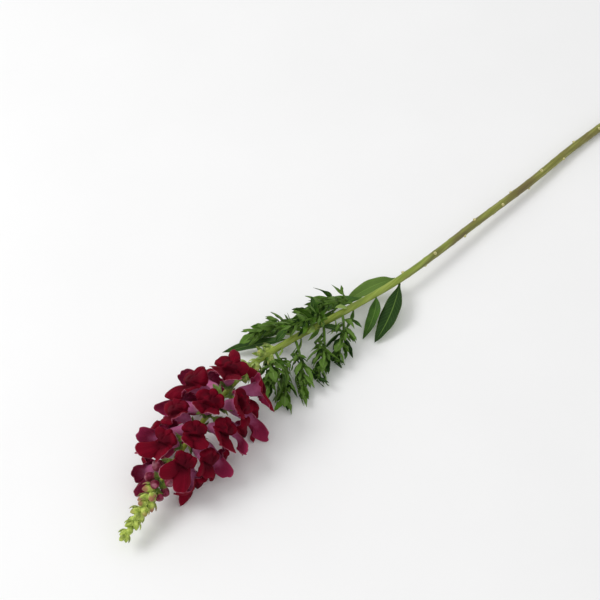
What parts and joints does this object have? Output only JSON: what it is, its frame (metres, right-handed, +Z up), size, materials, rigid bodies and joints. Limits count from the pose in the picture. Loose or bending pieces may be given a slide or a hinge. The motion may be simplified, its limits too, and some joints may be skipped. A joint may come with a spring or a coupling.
{
  "type": "snapdragon stem",
  "caption": "Cut snapdragon stem lying down: a raceme of two-lipped crimson flowers with a tapering tip of buds, leafy side shoots and a long bare stalk.",
  "frame": {"origin": "on the table surface, under the middle of the stem's bounding box", "axes": "+Z up from the table; the stalk runs along X, with the tip of the flower spike at -X and the cut end at +X"},
  "size_m": [0.7715, 0.1115, 0.0887],
  "materials": {
    "stalk": "satin green plant stem",
    "petal": "velvety petal",
    "bud": "satin closed petal",
    "leaf": "satin leaf"
  },
  "bodies": {
    "root": {"stalk": "stalk", "flower_01": "petal", "flower_02": "petal", "flower_03": "petal", "flower_04": "petal", "flower_05": "petal", "flower_06": "petal", "flower_07": "petal", "flower_08": "petal", "flower_09": "petal", "flower_10": "petal", "flower_11": "petal", "flower_12": "petal", "flower_13": "petal", "flower_14": "petal", "flower_15": "petal", "flower_16": "petal", "flower_17": "petal", "flower_18": "petal", "flower_19": "petal", "flower_20": "petal", "bud_01": "bud", "bud_02": "bud", "bud_03": "bud", "bud_04": "bud", "bud_05": "bud", "bud_06": "bud", "bud_07": "bud", "bud_08": "bud", "bud_09": "bud", "leaf_01": "leaf", "leaf_02": "leaf", "leaf_03": "leaf", "leaf_04": "leaf", "leaf_05": "leaf", "leaf_06": "leaf", "leaf_07": "leaf", "leaf_08": "leaf", "side_shoot_01": "leaf", "side_shoot_02": "leaf", "side_shoot_03": "leaf", "side_shoot_04": "leaf", "side_shoot_05": "leaf", "side_shoot_06": "leaf", "side_shoot_07": "leaf", "side_shoot_08": "leaf"}
  },
  "joints": []
}
